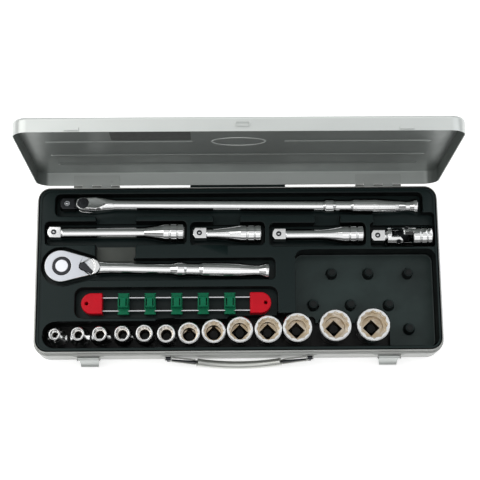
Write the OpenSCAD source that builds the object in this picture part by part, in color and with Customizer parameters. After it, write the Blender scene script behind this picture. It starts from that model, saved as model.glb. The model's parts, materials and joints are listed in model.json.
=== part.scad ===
// Half-inch-drive socket wrench set in a hinged sheet-metal case.
// Millimetres. +X along the case, +Y towards the hinges, +Z up.
// Origin at the centre of the underside of the case, lid standing open.

/* [Case] */
// Length of the case along X
case_length = 446.4; // [440:0.2:454]
// Width of the case from latches to hinges
case_width = 188.4; // [186:0.2:194]
// Height of the base rim above the bench
base_height = 39; // [39:0.2:41]
// Height at which the base wall steps in for the lid
step_height = 29; // [28:0.2:29]
// How far the upper base wall is set in
step_inset = 2.2; // [2.1:0.1:2.5]
// Depth of the lid from its panel to its free edge
lid_depth = 15.6; // [15.6:0.2:18]
// Outer corner radius of the case seen from above
corner_radius = 16; // [12:1:20]
// Thickness of the case sheet
sheet = 1; // [0.8:0.1:1]
// Lid angle at rest, measured from closed
lid_open = 90; // [0:5:90]
// Number of stiffening beads pressed into the lid panel
lid_beads = 3; // [1:1:3]

/* [Hinges] */
// Distance of each hinge from the middle of the case
hinge_x = 157; // [140:1:165]
// Length of a hinge
hinge_length = 51; // [51:1:56]
// Radius of a hinge knuckle
knuckle_r = 2; // [1.8:0.1:2]
// Radius of the hinge pins
hinge_pin_r = 1; // [0.8:0.1:1]

/* [Latches and handle] */
// Distance of each latch from the middle of the case
latch_x = 163.5; // [150:0.5:170]
// Width of a latch
latch_width = 22.6; // [18:0.2:26]
// Angle through which a latch has fallen open
latch_open = 165; // [90:5:165]
// Half the distance between the handle pivots
handle_pivot_x = 77; // [72:1:84]
// Distance from the handle pivot to the middle of the grip
handle_reach = 18.6; // [17:0.2:19]
// Radius of the handle grip
grip_r = 4.25; // [3.5:0.25:4.5]
// Angle of the hanging handle, from straight down
handle_droop = 16.2; // [14:0.2:24]

/* [Drive] */
// Side of the male drive squares
drive_side = 12.7; // [12.6:0.05:12.75]
// Side of the female drive squares
socket_square = 12.95; // [12.9:0.05:13.1]

/* [Tray] */
// Height of the tray's land above the bench
land = 37; // [36.5:0.5:37]
// Wall thickness of the formed tray
tray_wall = 1.2; // [1:0.1:1.2]

/* [Hidden] */
$fn = 64;

// Colours
case_grey = "#b4b6b2";
tray_black = "#1d2524";
chrome = "#d4d6d6";
satin = "#c3c8cc";
dark_steel = "#3c3f42";
clip_green = "#0f8a5a";
cap_red = "#d31a2c";

// Case
half_l = case_length / 2;
half_w = case_width / 2;
lid_gap = 5;
lid_edge = step_height + lid_gap;
hinge_y = half_w;
hinge_z = lid_edge - 2.2;
small_gap = 0.2;
pin_gap = 0.06;
bead_rise = 1.1;
bead_r = 4;

// Front hardware. Latch and handle pivots stand 2.6 mm off the front wall.
front_pin_r = 1.2;
eye_r = 2.2;
pivot_off = 2.6;
pivot_y = -half_w - pivot_off;
latch_z = 24;
latch_arc = [13.8, 7.68];
latch_arc_r = norm(latch_arc);
latch_sheet = 1.2;
handle_z = 22.5;
grip_half = 46;
grip_bow = 8;
bow_r = (grip_half * grip_half + grip_bow * grip_bow) / (2 * grip_bow);

// Tools: places of their drive ends, and the heights of their axes
ratchet_at = [-192.9, 3.1, 32.5];
ratchet_yaw = -1.35;
head_half = 9;
gear_r = 13.2;
gear_teeth = 36;
lever_at = 23.8;
lever_rest = -35;
pawl_rest = -4;
breaker_at = [-171.3, 74.5, 31];
breaker_yaw = -0.6;
extension_z = 30.5;
extension_150_at = [-210, 42.4];
extension_75_at = [-49.6, 40.5];
extension_100_at = [38, 38.8];
joint_at = [147.2, 36.6, 30];
joint_roll = -45;
joint_length = 67.5;
joint_r = 10.75;
pin_a = 29.8;
pin_b = 38.8;
yoke_ear = 4.9;

// Socket rail
rail_y = -38;
rail_z = 30;
rod_r = 1.25;
rod_half_gap = 7.3;
clip_x = [-125.7, -96.7, -67.7, -38.7, -9.7];
clip_size = [12.4, 23.6];

// Sockets: nominal size, x, y, outside diameter, points
sockets = [[8, -198.8, -72.3, 12.6, 6], [10, -173.9, -72.1, 14.8, 6], [11, -150.5, -72.2, 16, 6],
    [12, -126.1, -72, 17, 6], [13, -102.3, -71.8, 18.6, 12], [14, -78.8, -72.2, 20, 12],
    [17, -54, -72, 23.6, 12], [19, -27.5, -70.2, 26, 12], [21, 0.9, -68.7, 28.4, 12],
    [22, 31.5, -68.3, 29.8, 12], [24, 63.1, -66.7, 32, 12], [26, 104.2, -64.9, 34.6, 12],
    [27, 145.3, -64.5, 36, 12]];
row_floor = [5.2, 4.2, 4.2];
row_break = [-90.5, 78.7, 165.8];
groove_half = 0.9;
pit_floor = 2.2;
bay_floor = 12;
peg_h = 13;
peg_r = [6, 4.5];
spare_pegs = [[103.5, -2.3], [144.4, -2.5], [188.3, -2.8], [82.3, -37.6], [123.9, -37.8], [165.9, -38.1],
    [187.5, -64.9]];

function row_of(x) = x < row_break[0] ? 0 : x < row_break[1] ? 1 : 2;
function socket_length(size) = size < 17 ? 38 : size < 26 ? 39.5 : 40.5;

// ---------- general shapes ----------

// Rectangle with rounded corners, from its limits
module round_rect(x0, x1, y0, y1, r) {
    translate([x0 + r, y0]) square([x1 - x0 - 2 * r, y1 - y0]);
    translate([x0, y0 + r]) square([x1 - x0, y1 - y0 - 2 * r]);
    for (x = [x0 + r, x1 - r], y = [y0 + r, y1 - r]) translate([x, y]) circle(r);
}

// Case outline set in by a distance
module case_outline(inset) {
    round_rect(inset - half_l, half_l - inset, inset - half_w, half_w - inset, corner_radius - inset);
}

// Two circles joined by their outer tangents
module tapered_slot(p, r0, q, r1) {
    d = norm(q - p);
    a = acos((r0 - r1) / d);
    turn = atan2(q[1] - p[1], q[0] - p[0]);
    translate(p) circle(r0);
    translate(q) circle(r1);
    polygon([for (s = [-1, 1]) p + r0 * [cos(turn + s * a), sin(turn + s * a)],
        for (s = [1, -1]) q + r1 * [cos(turn + s * a), sin(turn + s * a)]]);
}

// Solid of revolution along +X from a list of [x, radius] stations
module turned(stations) {
    last = len(stations) - 1;
    rotate([0, 90, 0]) rotate_extrude()
        polygon(concat([[0, stations[0][0]]], [for (s = stations) [s[1], s[0]]], [[0, stations[last][0]]]));
}

// Round bar along +X
module bar_x(x0, x1, r) {
    translate([x0, 0, 0]) rotate([0, 90, 0]) cylinder(h = x1 - x0, r = r);
}

// Square bar along +X with broken corners
module square_bar(x0, x1, side) {
    intersection() {
        translate([x0, -side / 2, -side / 2]) cube([x1 - x0, side, side]);
        turned([[x0, side * 0.5], [x0 + 2.4, side * 0.67], [x1, side * 0.67]]);
    }
}

// Detent ball that shows on top of a male square
module drive_ball(x) {
    translate([x, 0, drive_side / 2 - 1.2]) sphere(r = 2.2);
}

// Pocket in which that ball sits
module ball_pocket(x) {
    translate([x, 0, drive_side / 2 - 4.5]) cylinder(h = 6, r = 2.3);
}

// ---------- case base ----------

module base_shell() {
    color(case_grey) difference() {
        union() {
            linear_extrude(step_height) case_outline(0);
            linear_extrude(base_height) case_outline(step_inset);
        }
        translate([0, 0, sheet]) linear_extrude(step_height - 2 * sheet) case_outline(sheet);
        translate([0, 0, sheet]) linear_extrude(base_height) case_outline(step_inset + sheet);
    }
}

module lid_stop_strip() {
    foot = 2.6;
    color(tray_black) translate([-53, half_w, step_height - foot]) cube([106, 9, foot]);
    color(tray_black) translate([-53, half_w, step_height]) cube([106, 9, hinge_z - step_height - small_gap]);
}

// Spans of the knuckles that belong to one leaf, measured from the middle of a hinge
function lid_knuckles() = [[-16.2, -4.8], [4.8, 16.2]];
function base_knuckles() =
    [[-hinge_length / 2, -16.2 - small_gap], [-4.8 + small_gap, 4.8 - small_gap], [16.2 + small_gap, hinge_length / 2]];

module knuckle_row(spans, middle) {
    for (s = spans) translate([middle, hinge_y, hinge_z]) bar_x(s[0], s[1], knuckle_r);
}

module knuckle_bore(middle) {
    translate([middle, hinge_y, hinge_z])
        bar_x(-hinge_length / 2 - 1, hinge_length / 2 + 1, hinge_pin_r + pin_gap);
}

module base_hinge_leaves() {
    leaf = 0.8;
    color(case_grey) for (side = [-1, 1]) difference() {
        union() {
            knuckle_row(base_knuckles(), side * hinge_x);
            for (s = base_knuckles()) translate([side * hinge_x + s[0], hinge_y + knuckle_r - leaf, step_height - 14])
                cube([s[1] - s[0], leaf, hinge_z - step_height + 14]);
            translate([side * hinge_x - hinge_length / 2, hinge_y, step_height - 14])
                cube([hinge_length, knuckle_r, 13]);
        }
        knuckle_bore(side * hinge_x);
    }
}

module hinge_pins() {
    color(chrome) for (side = [-1, 1]) translate([side * hinge_x, hinge_y, hinge_z])
        bar_x(-hinge_length / 2, hinge_length / 2, hinge_pin_r);
}

// Two ears either side of a front pivot, each with its foot on the wall
module pivot_ears(middle, half_gap, z) {
    ear = 1.2;
    foot = 5;
    for (s = [-1, 1]) translate([middle + s * (half_gap + ear / 2), pivot_y, z]) {
        difference() {
            union() {
                bar_x(-ear / 2, ear / 2, eye_r + 0.2);
                translate([-ear / 2, 0, -eye_r - 0.2]) cube([ear, pivot_off, 2 * eye_r + 0.4]);
                translate([s > 0 ? -ear / 2 : ear / 2 - foot, pivot_off - ear / 2, -eye_r - 0.2])
                    cube([foot, ear / 2, 2 * eye_r + 0.4]);
            }
            bar_x(-ear, ear, front_pin_r + 0.02);
        }
    }
}

module handle_brackets() {
    color(case_grey) for (s = [-1, 1]) pivot_ears(s * handle_pivot_x, 2.8, handle_z);
}

module handle_pins() {
    color(chrome) for (s = [-1, 1]) translate([s * handle_pivot_x, pivot_y, handle_z]) bar_x(-4, 4, front_pin_r);
}

module latch_brackets() {
    color(case_grey) for (s = [-1, 1]) pivot_ears(s * latch_x, latch_width / 2 + small_gap, latch_z);
}

module latch_pins() {
    reach = latch_width / 2 + small_gap + 1.2;
    color(chrome) for (s = [-1, 1]) translate([s * latch_x, pivot_y, latch_z]) bar_x(-reach, reach, front_pin_r);
}

// ---------- tray ----------

// Pockets as [x0, x1, y0, y1, corner radius, floor]: the long tools, the finger wells, the socket rows and the bay
row_front = -86.5;
well = 24;
long_pockets = [[-202, 205, 60, 85.2, 6, 21.8], [-213, -57, 27.6, 54, 5, 19.4], [-52.7, 29.3, 26.3, 52.5, 5, 19.4],
    [34.6, 140.7, 25, 51, 5, 19.4], [146.2, 217.4, 23.4, 50.8, 3, 18], [-165, 40.3, -12.2, 11.8, 5, 23],
    [-178.4, 42.6, -54.4, -20.5, 9, 22.6]];
wells = [[-157, -113, 11, 70, 5, well], [-27.4, 2.3, 45, 70, 4, well], [85, 113.2, 45, 70, 4, well],
    [150, 176.5, 45, 70, 4, well], [170, 217.4, 45, 62, 4, well]];
rows = [[-212.7, row_break[0], row_front, -58, 13, row_floor[0]], [-110, row_break[0], row_front, -58, 2, row_floor[0]],
    [row_break[0], row_break[1], row_front, -56, 2, row_floor[1]], [-12, 84, row_front, -50, 3, row_floor[1]],
    [row_break[1], row_break[2], row_front, -57, 2, row_floor[2]], [62.4, 217, row_front, 20.5, 9, bay_floor]];
grooves = [for (x = row_break) [x - groove_half, x + groove_half, row_front, x > 0 ? -57 : -58, 0.5, pit_floor]];
pockets = concat(long_pockets, wells, rows, grooves);

// Outline of one pocket, grown by a wall
module pocket_outline(p, grow) {
    round_rect(p[0] - grow, p[1] + grow, p[2] - grow, p[3] + grow, p[4] + grow);
}

// Hollows that follow the ratchet: its head, and the pit for its drive square
module ratchet_hollow(grow) {
    head = [ratchet_at[0] - 1.2, ratchet_at[1]];
    translate([0, 0, 22.5 - grow]) linear_extrude(land)
        tapered_slot(head, 22 + grow, head + [36, -1], 12 + grow);
    translate([ratchet_at[0], ratchet_at[1], pit_floor - grow]) cylinder(h = land, r = 11 + grow);
}

// Round cups behind the row for the largest sockets
module large_socket_cups(grow) {
    for (s = sockets) if (row_of(s[1]) == 2) translate([s[1], s[2], row_floor[2] - grow])
        cylinder(h = land, r = s[3] / 2 + 0.8 + grow);
}

module peg(at, floor_z) {
    translate([at[0], at[1], floor_z - tray_wall / 2]) {
        cylinder(h = peg_h - 1 + tray_wall / 2, r1 = peg_r[0], r2 = peg_r[1]);
        cylinder(h = peg_h + tray_wall / 2, r1 = peg_r[1], r2 = peg_r[1] - 1);
    }
}

module tray() {
    rim_set = step_inset + sheet + 1.2;
    color(tray_black) {
        difference() {
            union() {
                translate([0, 0, land - tray_wall]) linear_extrude(tray_wall) case_outline(rim_set);
                translate([0, 0, land - 7]) linear_extrude(7 + tray_wall) difference() {
                    case_outline(rim_set);
                    case_outline(rim_set + tray_wall);
                }
                translate([0, 0, land]) linear_extrude(tray_wall) difference() {
                    case_outline(rim_set);
                    case_outline(rim_set + 2);
                }
                intersection() {
                    union() {
                        for (p = pockets) translate([0, 0, p[5] - tray_wall])
                            linear_extrude(land - p[5] + tray_wall) pocket_outline(p, tray_wall);
                        ratchet_hollow(tray_wall);
                        large_socket_cups(tray_wall);
                    }
                    translate([0, 0, sheet]) linear_extrude(land - sheet) case_outline(rim_set);
                }
            }
            for (p = pockets) translate([0, 0, p[5]]) linear_extrude(land) pocket_outline(p, 0);
            ratchet_hollow(0);
            large_socket_cups(0);
        }
        for (s = sockets) peg([s[1], s[2]], row_floor[row_of(s[1])]);
        for (at = spare_pegs) peg(at, bay_floor);
    }
}

// ---------- lid ----------

// Turns a lid part drawn closed to its open place
module lid_place() {
    translate([0, hinge_y, hinge_z]) rotate([-lid_open, 0, 0]) translate([0, -hinge_y, -hinge_z]) children();
}

// Pressed bead along X on the inside of the closed panel
module panel_bead(x0, x1, y) {
    top = lid_edge + lid_depth - sheet;
    translate([0, y, top - bead_rise + bead_r]) intersection() {
        union() {
            bar_x(x0, x1, bead_r);
            for (x = [x0, x1]) translate([x, 0, 0]) sphere(r = bead_r);
        }
        translate([x0 - bead_r, -bead_r, -bead_r]) cube([x1 - x0 + 2 * bead_r, 2 * bead_r, bead_rise + 0.1]);
    }
}

module lid_shell() {
    top = lid_edge + lid_depth;
    bead_y = [hinge_y - 112.2, hinge_y - 67.2, hinge_y - 36.2];
    color(case_grey) lid_place() {
        difference() {
            translate([0, 0, lid_edge]) linear_extrude(lid_depth) case_outline(0);
            translate([0, 0, lid_edge - 1]) linear_extrude(lid_depth + 1 - sheet) case_outline(sheet);
            for (side = [-1, 1], s = lid_knuckles()) translate([side * hinge_x + s[0] - 0.3, hinge_y - 1.5, lid_edge - 1])
                cube([s[1] - s[0] + 0.6, 2, 2]);
        }
        for (s = [-1, 1]) panel_bead(min(s * 49, s * 197), max(s * 49, s * 197), bead_y[0]);
        if (lid_beads > 1) panel_bead(-197, 197, bead_y[1]);
        if (lid_beads > 2) panel_bead(-193, 193, bead_y[2]);
        for (s = [-1, 1]) translate([s * latch_x - 7, -half_w - 1.6, lid_edge + 1.2]) cube([14, 2, 3]);
    }
}

module lid_hinge_leaves() {
    leaf = 0.8;
    color(case_grey) lid_place() for (side = [-1, 1]) difference() {
        union() {
            knuckle_row(lid_knuckles(), side * hinge_x);
            for (s = lid_knuckles()) translate([side * hinge_x + s[0], hinge_y - sheet - leaf, hinge_z])
                cube([s[1] - s[0], leaf, lid_edge - hinge_z + 3]);
            translate([side * hinge_x - hinge_length / 2, hinge_y - sheet - leaf, lid_edge + 0.4])
                cube([hinge_length, leaf, 11]);
        }
        knuckle_bore(side * hinge_x);
    }
}

module lid_label() {
    top = lid_edge + lid_depth - sheet;
    color(dark_steel) lid_place() translate([-131, hinge_y - 144.5, top - 0.3])
        linear_extrude(0.3) round_rect(0, 82, 0, 27, 2);
}

// ---------- handle ----------

// Turns a part drawn hanging straight down from the pivot to its resting droop
module handle_place() {
    translate([0, pivot_y, handle_z]) rotate([-handle_droop, 0, 0]) children();
}

module handle_grip() {
    half_angle = asin(grip_half / bow_r);
    color(satin) handle_place() translate([0, 0, bow_r - handle_reach]) rotate([90, 0, 0])
        rotate([0, 0, -90 - half_angle]) rotate_extrude(angle = 2 * half_angle, $fn = 128)
            translate([bow_r, 0]) circle(grip_r);
}

module handle_straps() {
    end_drop = handle_reach - grip_bow;
    thick = 2;
    color(case_grey) handle_place() for (s = [-1, 1]) difference() {
        union() {
            translate([s * handle_pivot_x, 0, 0]) bar_x(-2.6, 2.6, eye_r);
            rotate([90, 0, 0]) translate([0, 0, -thick / 2]) linear_extrude(thick) scale([s, 1])
                polygon([[handle_pivot_x + 2, -1.6], [handle_pivot_x + 2, -6.2], [grip_half, -end_drop - 3.4],
                    [grip_half - 4, -end_drop - 3], [grip_half - 4, -end_drop + 1], [grip_half, -end_drop + 2],
                    [handle_pivot_x - 2, -3.6], [handle_pivot_x - 2, -1.6]]);
        }
        translate([s * handle_pivot_x, 0, 0]) bar_x(-4, 4, front_pin_r + pin_gap);
        rotate([90, 0, 0]) translate([0, 0, -thick]) linear_extrude(2 * thick) scale([s, 1])
            tapered_slot([handle_pivot_x - 8, -6.9], 1, [grip_half + 7, -end_drop + 0.2], 1.2);
    }
}

// ---------- latches ----------

// Clasp drawn closed about its own pivot, then turned open
module latch(middle) {
    free_end = 40;
    far = 60;
    start = -atan2(latch_arc[1], latch_arc[0]);
    color(case_grey) translate([middle, pivot_y, latch_z]) rotate([latch_open, 0, 0]) {
        difference() {
            union() {
                bar_x(-latch_width / 2, latch_width / 2, eye_r);
                translate([0, latch_arc[0], latch_arc[1]]) intersection() {
                    rotate([0, -90, 0]) translate([0, 0, -latch_width / 2]) difference() {
                        cylinder(h = latch_width, r = latch_arc_r + latch_sheet / 2);
                        translate([0, 0, -1]) cylinder(h = latch_width + 2, r = latch_arc_r - latch_sheet / 2);
                        translate([0, 0, -1]) linear_extrude(latch_width + 2)
                            polygon([[0, 0], far * [sin(free_end), -cos(free_end)], [far, 0], [far, far],
                                [-far, far], [-far, 0], far * [sin(start), -cos(start)]]);
                    }
                    rotate([90, 0, 0]) translate([0, 0, -1]) linear_extrude(20)
                        polygon([[-latch_width / 2, -12], [latch_width / 2, -12], [latch_width / 2, 0],
                            [latch_width / 2 - 2, 12], [2 - latch_width / 2, 12], [-latch_width / 2, 0]]);
                }
            }
            bar_x(-latch_width, latch_width, front_pin_r + pin_gap);
        }
    }
}

module latch_left() { latch(-latch_x); }
module latch_right() { latch(latch_x); }

// ---------- ratchet ----------

// Ratchet frame: origin on the drive axis, +X along the handle
module ratchet_place() {
    translate(ratchet_at) rotate([0, 0, ratchet_yaw]) children();
}

module ratchet_body() {
    color(satin) ratchet_place() difference() {
        union() {
            translate([0, 0, -head_half]) linear_extrude(2 * head_half)
                tapered_slot([-1.2, 0], 17.6, [33, 0], 8.6);
            turned([[36, 8.4], [41, 7.6], [53, 6.5], [118, 6.5], [121, 7.2], [126, 8.6], [133, 8.6], [137, 7.4],
                [150, 7.4], [154, 8.7], [175, 9], [195, 8.2], [211, 6.5], [216, 6.5], [223, 9.2], [226.5, 9.2]]);
        }
        translate([0, 0, -head_half - 1]) cylinder(h = head_half + 6, r = gear_r + 0.6);
        cylinder(h = head_half + 1, r = 10.1);
        translate([10, -6, -head_half + 2.4]) cube([21, 12, head_half + 2.6]);
        translate([lever_at, 0, 0]) cylinder(h = head_half + 1, r = 2.6);
        translate([lever_at, 0, head_half - 3]) linear_extrude(4) {
            circle(4.5);
            intersection() {
                circle(12.2);
                polygon([[0, -4.5], 20 * [cos(46), -sin(46)], [20, 0], 20 * [cos(46), sin(46)], [0, 4.5]]);
            }
        }
    }
}

module ratchet_cover() {
    color(satin) ratchet_place() translate([0, 0, -head_half]) difference() {
        cylinder(h = 2, r = gear_r + 0.55);
        translate([0, 0, -1]) cylinder(h = 4, r = 10.3);
    }
}

module ratchet_ring() {
    color(dark_steel) ratchet_place() translate([0, 0, 5.2]) difference() {
        cylinder(h = head_half - 5.2 + 0.1, r = 10);
        translate([0, 0, -1]) cylinder(h = head_half, r = 7);
    }
}

module ratchet_gear() {
    tip = [0, 0, -head_half - 16.8];
    color(satin) ratchet_place() difference() {
        union() {
            translate([0, 0, -6.8]) linear_extrude(11.6)
                polygon([for (i = [0:2 * gear_teeth - 1])
                    (gear_r - (i % 2)) * [cos(i * 180 / gear_teeth), sin(i * 180 / gear_teeth)]]);
            translate([0, 0, -head_half]) cylinder(h = head_half, r = 10);
            cylinder(h = head_half + 0.3, r = 6.8);
            translate(tip) rotate([0, -90, 0]) rotate([180, 0, 0]) square_bar(0, 17.5, drive_side);
        }
        translate([-8, 0, -head_half - 10]) rotate([0, 90, 0]) cylinder(h = 6, r = 2.3);
    }
}

module ratchet_ball() {
    color(chrome) ratchet_place() translate([-drive_side / 2 + 1.2, 0, -head_half - 10]) sphere(r = 2.2);
}

module ratchet_pawl() {
    color(dark_steel) ratchet_place() translate([lever_at, 0, -5]) rotate([0, 0, pawl_rest]) difference() {
        translate([-9.3, -4.6, 0]) cube([14, 9.2, 9]);
        translate([-lever_at, 0, -1]) cylinder(h = 12, r = gear_r + 1.4);
        translate([0, 0, -1]) cylinder(h = 12, r = 2.6);
    }
}

module ratchet_lever() {
    color(dark_steel) ratchet_place() translate([lever_at, 0, 0]) rotate([0, 0, lever_rest]) {
        translate([0, 0, -5]) cylinder(h = head_half + 4, r = 2.52);
        translate([0, 0, head_half - 2.8]) linear_extrude(3.2) tapered_slot([0, 0], 4, [9.2, 0], 2.2);
        translate([10, 0, head_half - 1.6]) cube([1.6, 4.4, 2.4], center = true);
    }
}

// ---------- flex-head breaker bar ----------

module breaker_place() {
    translate(breaker_at) rotate([0, 0, breaker_yaw]) children();
}

module breaker_bar() {
    color(chrome) breaker_place() difference() {
        union() {
            intersection() {
                translate([0, 0, -8.4]) linear_extrude(16.8) {
                    tapered_slot([0, 0], 7.6, [12, 0], 8.4);
                    tapered_slot([12, 0], 8.4, [36, 0], 5.5);
                }
                turned([[-9, 9.2], [14, 10.4], [36, 6.4]]);
            }
            turned([[20, 6.4], [266, 6.4], [269, 8], [277, 8], [280, 6.9], [296, 6.9], [300, 8.4], [325, 8.8],
                [350, 7.2], [358, 6.2], [362, 6.4], [368, 8.6], [370.8, 8.6]]);
        }
        translate([-20, -20, -3.3]) cube([29, 40, 6.6]);
        translate([0, 0, -20]) cylinder(h = 40, r = 3.04);
        for (s = [-1, 1]) translate([0, 0, s * 9.4]) cylinder(h = 4, r = 6.1, center = true);
    }
}

module breaker_pin() {
    color(dark_steel) breaker_place() {
        cylinder(h = 17.2, r = 3, center = true);
        for (s = [-1, 1]) translate([0, 0, s * 7.95]) cylinder(h = 0.9, r = 6, center = true);
    }
}

module breaker_drive() {
    color(dark_steel) breaker_place() difference() {
        union() {
            translate([-25.2, 0, 0]) square_bar(0, 15.6, drive_side);
            bar_x(-12, -8.4, 5.6);
            translate([0, 0, -3]) linear_extrude(6) {
                circle(7.2);
                translate([-10, -5]) square([10, 10]);
            }
        }
        translate([0, 0, -10]) cylinder(h = 20, r = 3 + pin_gap);
        translate([-25.2, 0, 0]) ball_pocket(7.4);
    }
}

module breaker_ball() {
    color(chrome) breaker_place() translate([-25.2, 0, 0]) drive_ball(7.4);
}

// ---------- extensions ----------

// Extension bar along +X from its male square
module extension(total, flare) {
    band = 22;
    head = 10.4;
    neck = total - band - flare;
    color(chrome) difference() {
        union() {
            square_bar(0, 14.5, drive_side);
            turned([[14, 5.6], [15.4, 6.35], [neck, 6.35], [neck + flare * 0.55, 8.2], [total - band, head],
                [total - 16.4, head], [total - 16, head - 0.8], [total - 14.8, head - 0.8], [total - 14.4, head + 0.35],
                [total - 8, head + 0.35], [total - 7.6, head - 0.8], [total - 6.6, head - 0.8], [total - 6.2, head],
                [total - 0.8, head], [total, head - 0.8]]);
        }
        translate([total - 17, -socket_square / 2, -socket_square / 2]) cube([18, socket_square, socket_square]);
        ball_pocket(6.8);
    }
}

module extension_place(at) {
    translate([at[0], at[1], extension_z]) children();
}

module extension_150() { extension_place(extension_150_at) extension(150, 22); }
module extension_75() { extension_place(extension_75_at) extension(75, 28); }
module extension_100() { extension_place(extension_100_at) extension(100.5, 23); }
module extension_150_ball() { color(chrome) extension_place(extension_150_at) drive_ball(6.8); }
module extension_75_ball() { color(chrome) extension_place(extension_75_at) drive_ball(6.8); }
module extension_100_ball() { color(chrome) extension_place(extension_100_at) drive_ball(6.8); }

// ---------- universal joint ----------

// Joint frame: origin at the tip of the male square, rolled about +X
module joint_place(roll) {
    translate(joint_at) rotate([roll, 0, 0]) children();
}

// Two rounded ears either side of a pivot along Y; the base lies on the side that sign points to
module yoke_ears(pin_x, sign, base_x) {
    intersection() {
        turned([[pin_x - 12, joint_r], [pin_x + 12, joint_r]]);
        difference() {
            rotate([90, 0, 0]) translate([0, 0, -joint_r]) linear_extrude(2 * joint_r) {
                translate([pin_x, 0]) circle(yoke_ear);
                translate([min(pin_x, base_x), -yoke_ear]) square([abs(base_x - pin_x), 2 * yoke_ear]);
            }
            translate([sign > 0 ? base_x : pin_x - 6, -5, -20]) cube([abs(base_x - pin_x) + 6, 10, 40]);
        }
    }
}

module joint_drive_yoke() {
    color(chrome) {
        joint_place(0) difference() {
            union() {
                square_bar(0, 15, drive_side);
                turned([[14, 5.8], [15.8, 5.8], [16, 8.6], [18, joint_r], [21.6, joint_r], [22.4, joint_r - 0.8]]);
            }
            ball_pocket(7);
        }
        joint_place(joint_roll) difference() {
            yoke_ears(pin_a, 1, 21);
            translate([pin_a, 0, 0]) rotate([90, 0, 0]) cylinder(h = 30, r = 2.56, center = true);
        }
    }
}

module joint_socket_yoke() {
    total = joint_length;
    color(chrome) {
        joint_place(joint_roll + 90) difference() {
            yoke_ears(pin_b, -1, 47.5);
            translate([pin_b, 0, 0]) rotate([90, 0, 0]) cylinder(h = 30, r = 2.56, center = true);
        }
        joint_place(0) difference() {
            turned([[46.2, joint_r - 0.8], [47, joint_r], [54, joint_r], [54.4, joint_r - 0.8], [55.4, joint_r - 0.8],
                [55.8, joint_r + 0.2], [61, joint_r + 0.2], [61.4, joint_r - 0.8], [62.4, joint_r - 0.8],
                [62.8, joint_r], [total - 0.8, joint_r], [total, joint_r - 0.8]]);
            translate([total - 17, -socket_square / 2, -socket_square / 2])
                cube([18, socket_square, socket_square]);
        }
    }
}

module joint_block() {
    color(dark_steel) {
        joint_place(joint_roll) {
            difference() {
                rotate([90, 0, 0]) linear_extrude(9.6, center = true) {
                    translate([pin_a, 0]) circle(4.7);
                    translate([pin_a, -4.7]) square([pin_b - pin_a, 9.4]);
                }
                translate([pin_b - 0.1, -5, -5]) cube([10, 10, 10]);
            }
            translate([pin_a, 0, 0]) rotate([90, 0, 0]) cylinder(h = 21, r = 2.5, center = true);
        }
        joint_place(joint_roll + 90) {
            intersection() {
                rotate([90, 0, 0]) linear_extrude(9.6, center = true) translate([pin_b, 0]) circle(4.7);
                translate([pin_b - 0.2, -5, -5]) cube([10, 10, 10]);
            }
            translate([pin_b, 0, 0]) rotate([90, 0, 0]) cylinder(h = 21, r = 2.5, center = true);
        }
    }
}

module joint_ball() { color(chrome) joint_place(0) drive_ball(7); }

// ---------- socket rail ----------

module rail_rods() {
    color(chrome) for (s = [-1, 1]) translate([0, rail_y + s * rod_half_gap, rail_z]) bar_x(-160, 24, rod_r);
}

// Round-ended cap; the flat inner face is at x, the round end on the side that sign points to
module rail_end(x, sign) {
    reach = 23.2;
    half = 11.5;
    color(cap_red) translate([x, rail_y, rail_z - 7]) difference() {
        linear_extrude(14) {
            translate([sign * (reach - half), 0]) circle(half);
            translate([sign > 0 ? 0 : half - reach, -half]) square([reach - half, 2 * half]);
        }
        translate([sign * (reach - 6), 0, -1]) cylinder(h = 16, r = 1.8);
        for (s = [-1, 1]) translate([0, s * rod_half_gap, 7]) bar_x(min(-1, sign * 16), max(1, sign * 16), rod_r);
    }
}

module rail_end_left() { rail_end(-148.4, -1); }
module rail_end_right() { rail_end(12.2, 1); }

module rail_clip(i) {
    color(clip_green) translate([clip_x[i], rail_y, rail_z]) difference() {
        union() {
            translate([-clip_size[0] / 2, -clip_size[1] / 2, -3]) cube([clip_size[0], clip_size[1], 6]);
            translate([-5.6, -5.6, 3]) cube([11.2, 11.2, 9]);
            translate([-5.1, -5.1, 12]) cube([10.2, 10.2, 1]);
        }
        for (s = [-1, 1]) {
            translate([0, s * rod_half_gap, 0]) bar_x(-10, 10, rod_r + pin_gap);
            translate([s * 6.2, 9, 2]) cube([2.4, 3, 4], center = true);
            translate([s * 6.2, -9, 2]) cube([2.4, 3, 4], center = true);
            translate([s * 3.6, 0, 9]) cube([1.2, 8, 10], center = true);
        }
    }
}

module rail_clip_1() { rail_clip(0); }
module rail_clip_2() { rail_clip(1); }
module rail_clip_3() { rail_clip(2); }
module rail_clip_4() { rail_clip(3); }
module rail_clip_5() { rail_clip(4); }

// ---------- sockets ----------

// Six-point or twelve-point opening for a nut of a given size across flats
module nut_opening(size, points, depth) {
    corner_r = (size + 0.15) / 2 / cos(30);
    for (a = points == 6 ? [0] : [0, 30]) rotate([0, 0, a]) cylinder(h = depth, r = corner_r, $fn = 6);
}

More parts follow.
